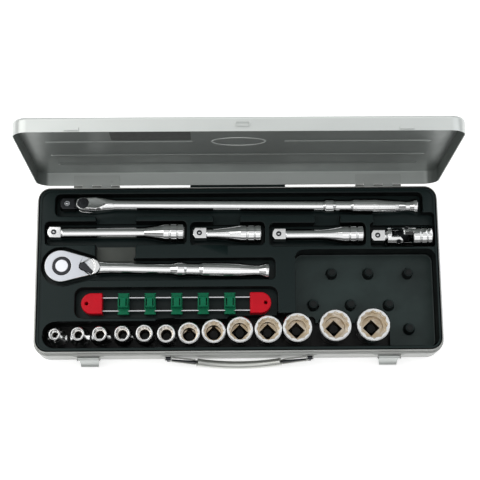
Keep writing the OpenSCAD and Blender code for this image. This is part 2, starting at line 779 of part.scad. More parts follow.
// Socket standing on its drive end
module socket(i) {
    s = sockets[i];
    size = s[0];
    tall = socket_length(size);
    nose_r = s[3] / 2;
    drive_r = nose_r < 11 ? 11 : nose_r < 13 ? nose_r - 0.4 : nose_r - 1.6;
    drive_h = nose_r < 11 ? 15 : 14;
    broach = 6 + size * 0.28;
    color(chrome) translate([s[1], s[2], row_floor[row_of(s[1])] + small_gap]) difference() {
        rotate_extrude() polygon([[0, 0], [drive_r - 0.8, 0], [drive_r, 0.8], [drive_r, 6], [drive_r - 0.6, 6.6],
            [drive_r - 0.6, 8], [drive_r, 8.6], [drive_r, drive_h], [nose_r, drive_h + 4],
            [nose_r, tall - 0.9], [nose_r - 0.9, tall], [0, tall]]);
        translate([0, 0, tall - broach]) nut_opening(size, s[4], broach + 1);
        translate([0, 0, tall - broach]) cylinder(h = 1, r = (size + 0.15) / 2, center = true);
        translate([0, 0, 16]) cylinder(h = tall, r = size * 0.43);
        translate([0, 0, tall - 0.8]) cylinder(h = 0.9, r1 = size * 0.5 + 0.1, r2 = size * 0.5 + 1);
        rotate([0, 0, 45]) translate([0, 0, 8])
            cube([socket_square, socket_square, 17.4], center = true);
    }
}

module socket_08() { socket(0); }
module socket_10() { socket(1); }
module socket_11() { socket(2); }
module socket_12() { socket(3); }
module socket_13() { socket(4); }
module socket_14() { socket(5); }
module socket_17() { socket(6); }
module socket_19() { socket(7); }
module socket_21() { socket(8); }
module socket_22() { socket(9); }
module socket_24() { socket(10); }
module socket_26() { socket(11); }
module socket_27() { socket(12); }

// ---------- assembly ----------

base_shell();
tray();
base_hinge_leaves();
hinge_pins();
lid_stop_strip();
handle_brackets();
handle_pins();
latch_brackets();
latch_pins();
lid_shell();
lid_hinge_leaves();
lid_label();
handle_grip();
handle_straps();
latch_left();
latch_right();
ratchet_body();
ratchet_cover();
ratchet_ring();
ratchet_gear();
ratchet_ball();
ratchet_pawl();
ratchet_lever();
breaker_bar();
breaker_pin();
breaker_drive();
breaker_ball();
extension_150();
extension_150_ball();
extension_75();
extension_75_ball();
extension_100();
extension_100_ball();
joint_drive_yoke();
joint_ball();
joint_block();
joint_socket_yoke();
rail_rods();
rail_end_left();
rail_end_right();
rail_clip_1();
rail_clip_2();
rail_clip_3();
rail_clip_4();
rail_clip_5();
socket_08();
socket_10();
socket_11();
socket_12();
socket_13();
socket_14();
socket_17();
socket_19();
socket_21();
socket_22();
socket_24();
socket_26();
socket_27();
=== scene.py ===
"""Socket wrench set in a hinged sheet-metal case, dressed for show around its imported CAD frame."""

from __future__ import annotations

import json
import logging
import math
from dataclasses import dataclass
from enum import Enum
from typing import Callable, Iterable, Sequence

import bpy
import numpy as np
from mathutils import Matrix, Vector

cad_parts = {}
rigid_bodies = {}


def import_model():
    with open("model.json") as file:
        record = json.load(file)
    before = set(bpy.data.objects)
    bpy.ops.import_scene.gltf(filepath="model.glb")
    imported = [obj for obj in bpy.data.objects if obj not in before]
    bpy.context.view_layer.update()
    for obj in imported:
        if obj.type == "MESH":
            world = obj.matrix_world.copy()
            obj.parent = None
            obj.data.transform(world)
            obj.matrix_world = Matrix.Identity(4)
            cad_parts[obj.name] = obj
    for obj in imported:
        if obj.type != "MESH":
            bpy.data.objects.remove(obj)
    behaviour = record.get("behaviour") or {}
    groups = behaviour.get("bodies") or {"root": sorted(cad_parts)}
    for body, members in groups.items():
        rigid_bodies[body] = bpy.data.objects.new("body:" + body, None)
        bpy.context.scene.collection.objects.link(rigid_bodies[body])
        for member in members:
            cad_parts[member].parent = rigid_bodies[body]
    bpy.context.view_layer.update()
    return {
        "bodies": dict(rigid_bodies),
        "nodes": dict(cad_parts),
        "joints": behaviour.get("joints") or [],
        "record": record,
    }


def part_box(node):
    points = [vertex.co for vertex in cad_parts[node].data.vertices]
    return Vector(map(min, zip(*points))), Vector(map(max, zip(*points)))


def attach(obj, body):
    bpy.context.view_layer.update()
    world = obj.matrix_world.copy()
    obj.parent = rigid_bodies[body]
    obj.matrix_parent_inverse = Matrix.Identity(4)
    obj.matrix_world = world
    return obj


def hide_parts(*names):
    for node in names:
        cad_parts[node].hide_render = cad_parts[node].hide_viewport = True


LOG = logging.getLogger("wrench_set")
MM = 0.001
Point = tuple[float, float, float]


# ---------------------------------------------------------------- shader maths


class Value:
    """A number in a shader, as a socket or a constant, that Python's operators work on."""

    def __init__(self, tree: "Nodes", source: object) -> None:
        """Wraps a source.

        Args:
            tree: The tree that new nodes are added to.
            source: An output socket or a number.
        """
        self.tree = tree
        self.source = source

    def _with(self, operation: str, *others: object) -> "Value":
        """Adds one Math node.

        Args:
            operation: The Math node's operation.
            *others: The other inputs, as values or numbers.

        Returns:
            The node's result.
        """
        inputs = [self.source] + [o.source if isinstance(o, Value) else o for o in others]
        node = self.tree.add("ShaderNodeMath", {"operation": operation}, dict(enumerate(inputs)))
        return Value(self.tree, node.outputs[0])

    def __add__(self, other: object) -> "Value":
        """Sum."""
        return self._with("ADD", other)

    def __sub__(self, other: object) -> "Value":
        """Difference."""
        return self._with("SUBTRACT", other)

    def __rsub__(self, other: float) -> "Value":
        """Difference from a number."""
        return Value(self.tree, other)._with("SUBTRACT", self)

    def __mul__(self, other: object) -> "Value":
        """Product."""
        return self._with("MULTIPLY", other)

    __radd__ = __add__
    __rmul__ = __mul__

    def power(self, exponent: float) -> "Value":
        """Power."""
        return self._with("POWER", exponent)

    def size(self) -> "Value":
        """Absolute value."""
        return self._with("ABSOLUTE")

    def at_least(self, least: float) -> "Value":
        """The value, or the least one where it is smaller."""
        return self._with("MAXIMUM", least)

    def between(self, low: float, high: float, first: float = 0.0, last: float = 1.0) -> "Value":
        """Maps a range smoothly to another and clamps it.

        Args:
            low: The value that gives first.
            high: The value that gives last.
            first: Result at and below low.
            last: Result at and above high.

        Returns:
            The mapped value.
        """
        settings = {"interpolation_type": "SMOOTHSTEP"}
        values = {"Value": self.source, "From Min": low, "From Max": high, "To Min": first, "To Max": last}
        return Value(self.tree, self.tree.add("ShaderNodeMapRange", settings, values).outputs["Result"])


class Nodes:
    """The node tree of one material, filled one node at a time."""

    def __init__(self, name: str) -> None:
        """Starts an empty material.

        Args:
            name: The material's name.
        """
        self.material = bpy.data.materials.new(name)
        self.material.use_nodes = True
        self.tree = self.material.node_tree
        self.shader = self.tree.nodes["Principled BSDF"]

    def add(self, kind: str, settings: dict, values: dict) -> bpy.types.Node:
        """Adds a node, sets its options, then fills or links its inputs.

        Args:
            kind: The node's type.
            settings: Its options by name.
            values: Numbers, colours or output sockets by input name or index.

        Returns:
            The node.
        """
        node = self.tree.nodes.new(kind)
        for option, value in settings.items():
            setattr(node, option, value)
        for key, value in values.items():
            self.put(node.inputs[key], value)
        return node

    def put(self, socket: bpy.types.NodeSocket, value: object) -> None:
        """Links or sets one input.

        Args:
            socket: The input.
            value: An output socket, a Value or a plain value.
        """
        if isinstance(value, Value):
            value = value.source
        if isinstance(value, bpy.types.NodeSocket):
            self.tree.links.new(value, socket)
        else:
            socket.default_value = value

    def place(self) -> bpy.types.NodeSocket:
        """Position on the piece, in metres."""
        return self.add("ShaderNodeTexCoord", {}, {}).outputs["Object"]

    def axis(self, name: str) -> Value:
        """One coordinate of the position, in metres.

        Args:
            name: X, Y or Z.

        Returns:
            The coordinate.
        """
        node = self.add("ShaderNodeSeparateXYZ", {}, {0: self.place()})
        return Value(self, node.outputs[name])

    def facing_up(self) -> Value:
        """How far the surface faces up, from -1 to 1."""
        normal = self.add("ShaderNodeNewGeometry", {}, {}).outputs["Normal"]
        return Value(self, self.add("ShaderNodeSeparateXYZ", {}, {0: normal}).outputs["Z"])

    def noise(self, scale: float, detail: float = 3.0, stretch: Point = (1.0, 1.0, 1.0)) -> Value:
        """Soft noise over the piece, from 0 to 1.

        Args:
            scale: Cells in a metre.
            detail: Octaves.
            stretch: Scale of each axis.

        Returns:
            The noise.
        """
        mapped = self.add("ShaderNodeMapping", {}, {"Vector": self.place(), "Scale": stretch})
        values = {"Vector": mapped.outputs[0], "Scale": scale, "Detail": detail, "Roughness": 0.55}
        return Value(self, self.add("ShaderNodeTexNoise", {}, values).outputs[0])

    def mix(self, factor: Value, first: Sequence[float], second: Sequence[float]) -> bpy.types.NodeSocket:
        """Mixes two colours.

        Args:
            factor: 0 gives the first.
            first: A colour.
            second: A colour.

        Returns:
            The mixed colour's socket.
        """
        node = self.add("ShaderNodeMix", {"data_type": "RGBA"}, {0: factor})
        colour_a, colour_b = [s for s in node.inputs if s.type == "RGBA"]
        colour_a.default_value = (*first, 1.0)
        colour_b.default_value = (*second, 1.0)
        return [s for s in node.outputs if s.type == "RGBA"][0]

    def blend(
        self, factor: Value, under: bpy.types.NodeSocket, colour: Sequence[float]
    ) -> bpy.types.NodeSocket:
        """Lays a colour over another one that varies.

        Args:
            factor: How much of the colour shows.
            under: The colour beneath.
            colour: The colour on top.

        Returns:
            The blended colour's socket.
        """
        node = self.add("ShaderNodeMix", {"data_type": "RGBA"}, {0: factor})
        below, above = [s for s in node.inputs if s.type == "RGBA"]
        self.put(below, under)
        above.default_value = (*colour, 1.0)
        return [s for s in node.outputs if s.type == "RGBA"][0]

    def set(self, **values: object) -> None:
        """Sets the shader's inputs; an underscore stands for a space in a name."""
        for name, value in values.items():
            self.put(self.shader.inputs[name.replace("_", " ")], value)

    def bump(self, height: Value, distance: float, strength: float = 1.0) -> None:
        """Raises the surface's normal by a height.

        Args:
            height: The height map, from 0 to 1.
            distance: What a height of 1 stands for, in metres.
            strength: Share of the effect that is kept.
        """
        values = {"Height": height, "Distance": distance, "Strength": strength}
        self.set(Normal=self.add("ShaderNodeBump", {}, values).outputs["Normal"])


# ---------------------------------------------------------------- finishes


@dataclass(frozen=True)
class CasePaint:
    """Satin silver-grey metallic paint on sheet steel."""

    name: str
    colour: Point
    shade: Point
    metallic: float
    slot: str = "case_paint"

    def coat(self, nodes: Nodes) -> bpy.types.NodeSocket:
        """Sprays the paint, with soft clouds and fine flecks.

        Args:
            nodes: The material's nodes.

        Returns:
            The paint's colour.
        """
        cloud = nodes.noise(9.0, 2.0)
        fleck = nodes.noise(3800.0, 1.0)
        sheen = nodes.noise(40.0).between(0.3, 0.7, 0.36, 0.43)
        nodes.set(Metallic=self.metallic, Roughness=sheen, Coat_Weight=0.18, Coat_Roughness=0.22)
        nodes.bump(nodes.noise(1500.0, 2.0), 0.00002, 0.35)
        return nodes.mix(cloud * 0.6 + fleck * 0.3, self.shade, self.colour)

    def make(self) -> bpy.types.Material:
        """Returns the paint's material."""
        nodes = Nodes(self.name)
        nodes.set(Base_Color=self.coat(nodes))
        return nodes.material


@dataclass(frozen=True)
class LidPaint:
    """The case paint on the lid, with painted shade: a dark grey laid over the inner faces of its hollow."""

    low: Point
    high: Point
    corner: float
    paint: CasePaint = CasePaint("silver_paint_lid", (0.66, 0.69, 0.675), (0.60, 0.63, 0.615), 0.7)
    # Colour of the painted shade on the lid's inner faces.
    hollow: Point = (0.22, 0.24, 0.23)
    wall_fade: tuple[float, float] = (0.9, 0.6)
    panel_fade: tuple[float, float] = (0.9, 0.65)
    leaf_fade: tuple[float, float] = (1.2, 2.6)

    def past_corner(self, nodes: Nodes, name: str, low: float, high: float) -> Value:
        """How far a point is past the start of the corner's arc along one axis, in metres.

        Args:
            nodes: The material's nodes.
            name: X or Z.
            low: Where the lid starts along it, in millimetres.
            high: Where it ends.

        Returns:
            The distance, 0 between the corners.
        """
        straight = (high - low) / 2 - self.corner
        return ((nodes.axis(name) - (low + high) / 2 * MM).size() - straight * MM).at_least(0.0)

    def make(self) -> bpy.types.Material:
        """Returns the paint's material."""
        nodes = Nodes(self.paint.name)
        across = self.past_corner(nodes, "X", self.low[0], self.high[0])
        upward = self.past_corner(nodes, "Z", self.low[2], self.high[2])
        edge = (across.power(2.0) + upward.power(2.0)).power(0.5)
        walls = 1 - edge.between(*((self.corner - depth) * MM for depth in self.wall_fade))
        panel = 1 - nodes.axis("Y").between(*((self.high[1] - depth) * MM for depth in self.panel_fade))
        above_leaves = nodes.axis("Z").between(*((self.low[2] + rise) * MM for rise in self.leaf_fade))
        # Painted shade: the hollow colour covers the lid's inner faces, fades out towards its outer faces,
        # and stays off the inner face of the wall above the hinge leaves.
        colour = nodes.blend(walls * panel * above_leaves, self.paint.coat(nodes), self.hollow)
        nodes.set(Base_Color=colour)
        return nodes.material


@dataclass(frozen=True)
class TrayPlastic:
    """Dark vacuum-formed sheet, slightly glossy, with painted light: up-facing faces lighter than its
    near-black sides, and a painted sheen of mottled green-grey on its wide floors.
    """

    slot: str = "tray_plastic"
    wall: Point = (0.0025, 0.003, 0.003)
    land: Point = (0.0060, 0.0150, 0.0148)
    floor: Point = (0.029, 0.046, 0.044)
    peg: Point = (0.006, 0.0085, 0.0085)
    patch: Point = (0.090, 0.098, 0.088)
    patch_middle: tuple[float, float] = (-0.135, 0.019)
    patch_half: tuple[float, float] = (0.0215, 0.0085)

    def make(self) -> bpy.types.Material:
        """Returns the sheet's material."""
        nodes = Nodes("tray_sheet")
        height = nodes.axis("Z")
        up = nodes.facing_up().between(0.55, 0.95)
        under_wells = 1 - height.between(0.0155, 0.0165)
        over_feet = height.between(0.0105, 0.0115)
        # Noise that mottles the painted floor sheen and the patch.
        mottle = nodes.noise(26.0, 4.0).between(0.3, 0.72, 0.7, 1.0)
        # Painted light: up-facing faces high in the tray take the land colour, every other face the
        # near-black wall colour.
        colour = nodes.mix(up * height.between(0.0175, 0.0185), self.wall, self.land)
        # Painted sheen: the bay floor is lighter green-grey, mottled by noise.
        colour = nodes.blend(up * under_wells * over_feet * mottle, colour, self.floor)
        # Peg tops get a darker tone than the painted floor round them.
        peg_tops = height.between(0.0243, 0.0247) * (1 - height.between(0.0253, 0.0257))
        colour = nodes.blend(up * peg_tops, colour, self.peg)
        # A lighter mottled patch on the well floors inside one rectangle.
        beside = [(nodes.axis(name) - middle).size() for name, middle in zip("XY", self.patch_middle)]
        inside = [1 - gap.between(half - 0.001, half + 0.001) for gap, half in zip(beside, self.patch_half)]
        well = (1 - height.between(0.0245, 0.0255)) * (1 - under_wells)
        nodes.set(Base_Color=nodes.blend(up * well * inside[0] * inside[1] * mottle, colour, self.patch))
        nodes.set(Roughness=nodes.noise(60.0).between(0.3, 0.7, 0.3, 0.4), Specular_IOR_Level=0.2)
        nodes.bump(nodes.noise(520.0, 2.0), 0.00005, 0.3)
        return nodes.material


@dataclass(frozen=True)
class Plating:
    """Chrome plate, from polished to satin."""

    name: str
    slot: str
    colour: Point
    roughness: float
    spread: float
    grain: float = 0.0

    def make(self) -> bpy.types.Material:
        """Returns the plate's material."""
        nodes = Nodes(self.name)
        smudge = nodes.noise(70.0, 3.0)
        darker = tuple(0.9 * c for c in self.colour)
        nodes.set(Base_Color=nodes.mix(smudge, darker, self.colour), Metallic=1.0)
        low, high = self.roughness - self.spread, self.roughness + self.spread
        nodes.set(Roughness=smudge.between(0.3, 0.7, low, high))
        if self.grain:
            nodes.bump(nodes.noise(1400.0, 2.0, (0.12, 1.0, 1.0)), self.grain)
        return nodes.material


@dataclass(frozen=True)
class RatchetPlating:
    """Satin plate on the flat of the head that turns to polish along the handle."""

    slot: str = "satin_chrome"
    satin: Point = (0.56, 0.585, 0.63)
    bright: Point = (0.86, 0.87, 0.87)
    turn: tuple[float, float] = (-0.168, -0.158)

    def make(self) -> bpy.types.Material:
        """Returns the plate's material."""
        nodes = Nodes("ratchet_plate")
        smudge = nodes.noise(70.0, 3.0)
        polish_share = nodes.axis("X").between(*self.turn)
        flat = nodes.facing_up().between(0.9, 0.97) * (1 - polish_share)
        nodes.set(Base_Color=nodes.mix(1 - flat, self.satin, self.bright), Metallic=1.0)
        nodes.set(Roughness=0.08 + flat * 0.24 + smudge * 0.05)
        nodes.bump(nodes.noise(1500.0, 2.0), 0.000012, 0.5)
        return nodes.material


@dataclass(frozen=True)
class SocketPlating:
    """Polished socket, warm inside where it is only phosphated."""

    centre: tuple[float, float]
    bore: float
    warm_top: float
    chrome: Point = (0.86, 0.87, 0.87)
    warm: Point = (0.54, 0.44, 0.31)

    def make(self) -> bpy.types.Material:
        """Returns the socket's material."""
        nodes = Nodes("socket_plate")
        across = nodes.axis("X") - self.centre[0] * MM
        along = nodes.axis("Y") - self.centre[1] * MM
        distance = (across.power(2.0) + along.power(2.0)).power(0.5)
        inside = 1 - distance.between((self.bore - 0.25) * MM, (self.bore + 0.25) * MM)
        low = 1 - nodes.axis("Z").between((self.warm_top - 3.0) * MM, (self.warm_top + 1.0) * MM)
        warm = inside * low * nodes.noise(120.0, 2.0).between(0.25, 0.6, 0.65, 1.0)
        nodes.set(Base_Color=nodes.mix(warm, self.chrome, self.warm), Metallic=1.0)
        nodes.set(Roughness=0.12 + warm * 0.25 + nodes.noise(70.0) * 0.05)
        return nodes.material


@dataclass(frozen=True)
class Moulding:
    """Coloured moulded plastic."""

    name: str
    slot: str
    colour: Point
    deep: Point
    roughness: float = 0.3

    def make(self) -> bpy.types.Material:
        """Returns the plastic's material."""
        nodes = Nodes(self.name)
        nodes.set(Base_Color=nodes.mix(nodes.noise(90.0, 3.0), self.deep, self.colour))
        sheen = nodes.noise(200.0).between(0.3, 0.7, self.roughness - 0.04, self.roughness + 0.05)
        nodes.set(Roughness=sheen)
        nodes.set(Coat_Weight=0.08, Coat_Roughness=0.15, Specular_IOR_Level=0.12)
        nodes.bump(nodes.noise(700.0, 2.0), 0.00002, 0.4)
        return nodes.material


class Finish(Enum):
    """Every finish in the set."""

    PAINT = CasePaint("silver_paint", (0.60, 0.625, 0.61), (0.54, 0.565, 0.55), 0.7)
    # A darker copy of the silver paint for the base, its hinge leaves and brackets: painted shade on its
    # walls.
    BASE_PAINT = CasePaint("silver_paint_base_shaded", (0.40, 0.41, 0.395), (0.35, 0.36, 0.345), 0.8)
    TRAY = TrayPlastic()
    CHROME = Plating("polished_chrome", "chrome", (0.86, 0.87, 0.87), 0.10, 0.03)
    RATCHET = RatchetPlating()
    SATIN = Plating("satin_chrome", "satin_chrome", (0.70, 0.73, 0.78), 0.30, 0.05, 0.00001)
    DISC = Plating("pale_satin_disc", "satin_chrome", (0.86, 0.88, 0.93), 0.42, 0.04)
    DARK = Plating("black_oxide", "dark_steel", (0.045, 0.047, 0.052), 0.34, 0.06)
    STEEL = Plating("bright_rod", "steel", (0.62, 0.63, 0.65), 0.2, 0.05)
    GRIP = Plating("grip_silver", "grip_metal", (0.60, 0.61, 0.58), 0.33, 0.05)
    RED = Moulding("red_cap", "cap_plastic", (0.70, 0.005, 0.020), (0.56, 0.004, 0.015))
    GREEN = Moulding("green_clip", "clip_plastic", (0.0, 0.185, 0.085), (0.0, 0.125, 0.055))
    LABEL = Moulding("label_film", "label", (0.070, 0.072, 0.07), (0.055, 0.057, 0.056), 0.36)


class Dresser:
    """Keeps one material for each finish and hands pieces over to their bodies."""

    def __init__(self) -> None:
        """Starts with no materials made."""
        self.made: dict[Finish, bpy.types.Material] = {}

    def material(self, finish: Finish) -> bpy.types.Material:
        """The finish's material, made on first use."""
        if finish not in self.made:
            self.made[finish] = finish.value.make()
        return self.made[finish]

    def hand_over(
        self, piece: bpy.types.Object, body: str, finish: Finish, stands_for: Iterable[str] = ()
    ) -> None:
        """Gives a piece its finish, body and the nodes that it stands for.

        Args:
            piece: The finished piece.
            body: The body that it rides on.
            finish: Its finish.
            stands_for: CAD nodes that it replaces.
        """
        piece.data.materials.clear()
        piece.data.materials.append(self.material(finish))
        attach(piece, body)
        nodes = list(stands_for)
        if nodes:
            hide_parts(*nodes)
        LOG.info("%s rides on %s, %d faces", piece.name, body, len(piece.data.polygons))


# ---------------------------------------------------------------- bench: modelling by operators


def deselect() -> None:
    """Leaves nothing selected."""
    bpy.ops.object.select_all(action="DESELECT")


def pick(*objects: bpy.types.Object) -> None:
    """Selects these objects alone and makes the first one active."""
    deselect()
    for obj in objects:
        obj.select_set(True)
    bpy.context.view_layer.objects.active = objects[0]


def named(name: str) -> bpy.types.Object:
    """Names the active object and its mesh, and returns it."""
    obj = bpy.context.view_layer.objects.active
    obj.name = name
    obj.data.name = name
    return obj


def settle(obj: bpy.types.Object) -> bpy.types.Object:
    """Moves an object's place, turn and scale into its mesh, and returns it."""
    pick(obj)
    bpy.ops.object.transform_apply(location=True, rotation=True, scale=True)
    return obj


def apply_modifier(obj: bpy.types.Object, kind: str, **settings: object) -> None:
    """Adds a modifier with its settings and applies it.

    Args:
        obj: The piece.
        kind: The modifier's type.
        **settings: Its options.
    """
    pick(obj)
    modifier = obj.modifiers.new(kind.title(), kind)
    for option, value in settings.items():
        setattr(modifier, option, value)
    bpy.ops.object.modifier_apply(modifier=modifier.name)


def edit(obj: bpy.types.Object, mode: str = "FACE") -> None:
    """Opens edit mode on one object with nothing selected.

    Args:
        obj: The object.
        mode: VERT, EDGE or FACE.
    """
    pick(obj)
    bpy.ops.object.mode_set(mode="EDIT")
    bpy.ops.mesh.select_mode(type=mode)
    bpy.ops.mesh.select_all(action="DESELECT")


def close() -> None:
    """Leaves edit mode."""
    bpy.ops.object.mode_set(mode="OBJECT")


def set_smooth(obj: bpy.types.Object, angle: float = 32.0) -> None:
    """Shades smooth except across edges sharper than an angle in degrees."""
    pick(obj)
    bpy.ops.object.shade_smooth_by_angle(angle=math.radians(angle))


def drum(name: str, start: Point, end: Point, radius: float, sides: int = 32) -> bpy.types.Object:
    """A cylinder between two points, in millimetres.

    Args:
        name: The piece's name.
        start: Centre of one end.
        end: Centre of the other end.
        radius: Its radius.
        sides: Its side faces.

    Returns:
        The cylinder, with its place in its mesh.
    """
    a, b = Vector(start) * MM, Vector(end) * MM
    turn = (b - a).to_track_quat("Z", "Y").to_euler()
    bpy.ops.mesh.primitive_cylinder_add(
        vertices=sides, radius=radius * MM, depth=(b - a).length, location=(a + b) / 2, rotation=turn
    )
    return settle(named(name))


def ball(name: str, centre: Point, radius: float, squash: Point = (1.0, 1.0, 1.0)) -> bpy.types.Object:
    """A sphere or a flattened one, in millimetres.

    Args:
        name: The piece's name.
        centre: Its centre.
        radius: Its radius.
        squash: Scale along each axis.

    Returns:
        The sphere, with its place in its mesh.
    """
    place = Vector(centre) * MM
    bpy.ops.mesh.primitive_uv_sphere_add(segments=24, ring_count=14, radius=radius * MM, location=place)
    obj = named(name)
    obj.scale = squash
    settle(obj)
    bpy.ops.object.shade_smooth()
    return obj


def wire_ring(name: str, radius: float, wire: float, around: int = 40, across: int = 8) -> bpy.types.Object:
    """A ring of round wire that lies flat about the origin.

    Args:
        name: The piece's name.
        radius: Radius of the ring's middle line in millimetres.
        wire: Radius of the wire.
        around: Faces round the ring.
        across: Faces round the wire.

    Returns:
        The ring.
    """
    bpy.ops.mesh.primitive_torus_add(
        major_segments=around,
        minor_segments=across,
        major_radius=radius * MM,
        minor_radius=wire * MM,
        location=(0.0, 0.0, 0.0),
    )
    return named(name)


def pull_apart(ring: bpy.types.Object, length: float) -> None:
    """Moves a ring's two halves away from its middle along X, each by a length in millimetres."""
    edit(ring, "VERT")
    close()
    for vertex in ring.data.vertices:
        vertex.select = vertex.co.x > 0
    bpy.ops.object.mode_set(mode="EDIT")
    for step in (length, -length):
        bpy.ops.transform.translate(value=(step * MM, 0.0, 0.0))
        bpy.ops.mesh.select_all(action="INVERT")
    close()


def stand(
    obj: bpy.types.Object,
    place: Point,
    turn: Sequence[float] = (0.0, 0.0, 0.0),
    scale: Point = (1.0, 1.0, 1.0),
) -> bpy.types.Object:
    """Moves a piece from the origin to its place.

    Args:
        obj: The piece.
        place: Its place in millimetres.
        turn: Its turn about each axis in radians.
        scale: Its scale along each axis.

    Returns:
        The piece, with its place in its mesh.
    """
    obj.location = Vector(place) * MM
    obj.rotation_euler = turn
    obj.scale = scale
    return settle(obj)


def joined(name: str, parts: Sequence[bpy.types.Object]) -> bpy.types.Object:
    """Joins pieces into one object.

    Args:
        name: The joined piece's name.
        parts: The pieces.

    Returns:
        The joined piece.
    """
    pick(*parts)
    bpy.ops.object.join()
    return named(name)


def carve(obj: bpy.types.Object, tools: Sequence[bpy.types.Object]) -> None:
    """Cuts tools away from a piece, which uses them up.

    Args:
        obj: The piece.
        tools: The tools.
    """
    for tool in tools:
        apply_modifier(obj, "BOOLEAN", object=tool, operation="DIFFERENCE", solver="EXACT")
        bpy.data.objects.remove(tool)


def edge_facts(mesh: bpy.types.Mesh) -> tuple[np.ndarray, np.ndarray, np.ndarray, np.ndarray]:
    """Measures a mesh's edges.

    Args:
        mesh: A mesh with merged corners.

    Returns:
        Both end points in millimetres, the turn across each edge in degrees, and whether it stands out.
    """
    points = np.empty(len(mesh.vertices) * 3)
    mesh.vertices.foreach_get("co", points)
    points = points.reshape(-1, 3) / MM
    ends = np.empty(len(mesh.edges) * 2, int)
    mesh.edges.foreach_get("vertices", ends)
    ends = ends.reshape(-1, 2)
    normals = np.zeros((len(mesh.edges), 2, 3))
    centres = np.zeros((len(mesh.edges), 2, 3))
    count = np.zeros(len(mesh.edges), int)
    for face in mesh.polygons:
        for loop in face.loop_indices:
            edge = mesh.loops[loop].edge_index
            if count[edge] < 2:
                normals[edge, count[edge]] = face.normal
                centres[edge, count[edge]] = face.center / MM
            count[edge] += 1
    cosine = np.clip((normals[:, 0] * normals[:, 1]).sum(1), -1, 1)
    turn = np.where(count == 2, np.degrees(np.arccos(cosine)), 0)
    middle = (points[ends[:, 0]] + points[ends[:, 1]]) / 2
    out = ((centres[:, 1] - middle) * normals[:, 0]).sum(1) < 0
    return points[ends[:, 0]], points[ends[:, 1]], turn, out


EdgeTest = Callable[[np.ndarray, np.ndarray, np.ndarray], np.ndarray]


def anywhere(first: np.ndarray, last: np.ndarray, out: np.ndarray) -> np.ndarray:
    """Takes every edge."""
    return np.ones(len(first), bool)


def soften(
    obj: bpy.types.Object, radius: float, steps: int = 2, where: EdgeTest = anywhere, over: float = 35.0
) -> None:
    """Rounds the sharp edges that pass a test.

    Args:
        obj: The piece.
        radius: Width of the rounding in millimetres.
        steps: Faces across it.
        where: Takes both ends of the edges in millimetres and whether they stand out.
        over: Edges that turn by more than this, in degrees, are sharp.
    """
    first, last, turn, out = edge_facts(obj.data)
    weight = (turn > over) & where(first, last, out)
    layer = obj.data.attributes.get("bevel_weight_edge")
    if layer is None:
        layer = obj.data.attributes.new("bevel_weight_edge", "FLOAT", "EDGE")
    layer.data.foreach_set("value", weight.astype(np.float32))
    apply_modifier(
        obj, "BEVEL", width=radius * MM, segments=steps, limit_method="WEIGHT", use_clamp_overlap=False
    )
    obj.data.attributes.remove(obj.data.attributes["bevel_weight_edge"])


def polish(obj: bpy.types.Object, angle: float = 40.0) -> bpy.types.Object:
    """Shades a softened piece so that its flats stay flat, and returns it."""
    set_smooth(obj, angle)
    apply_modifier(obj, "WEIGHTED_NORMAL", keep_sharp=True, weight=60)
    return obj


class Topology(Enum):
    """How a copied node's flat triangles are tidied."""

    KEEP = "keep"
    PLAIN = "plain"


def copy_node(frame: dict, node: str, name: str, topology: Topology = Topology.PLAIN) -> bpy.types.Object:
    """A merged copy of a CAD node, ready to be worked on.

    Args:
        frame: The loaded frame.
        node: The node's name.
        name: The copy's name.
        topology: Whether flat triangles are joined into plain faces.

    Returns:
        The copy.
    """
    obj = bpy.data.objects.new(name, frame["nodes"][node].data.copy())
    obj.data.name = name
    bpy.context.scene.collection.objects.link(obj)
    edit(obj, "VERT")
    bpy.ops.mesh.customdata_custom_splitnormals_clear()
    bpy.ops.mesh.select_all(action="SELECT")
    bpy.ops.mesh.remove_doubles(threshold=0.002 * MM)
    if topology is Topology.PLAIN:
        bpy.ops.mesh.dissolve_limited(angle_limit=math.radians(0.6), delimit={"SEAM"})
    close()
    return obj


def seam_cuts(obj: bpy.types.Object, axis: int, places: Sequence[float]) -> None:
    """Cuts a piece along planes and keeps the cuts as seams, so that no flat face has a hole.

    Args:
        obj: The piece.
        axis: 0 for planes across X, 1 for planes across Y.
        places: The planes' places in millimetres.
    """
    normal = [0.0, 0.0, 0.0]
    normal[axis] = 1.0
    edit(obj, "EDGE")
    for place in places:
        point = [place * MM * n for n in normal]
        bpy.ops.mesh.select_all(action="SELECT")
        bpy.ops.mesh.bisect(plane_co=point, plane_no=normal)
        bpy.ops.mesh.mark_seam(clear=False)
    close()


def join_flats(obj: bpy.types.Object) -> None:
    """Joins flat triangles into plain faces, up to the seams."""
    edit(obj, "FACE")
    bpy.ops.mesh.select_all(action="SELECT")
    bpy.ops.mesh.dissolve_limited(angle_limit=math.radians(0.6), delimit={"SEAM"})
    close()


# ---------------------------------------------------------------- sub-assemblies


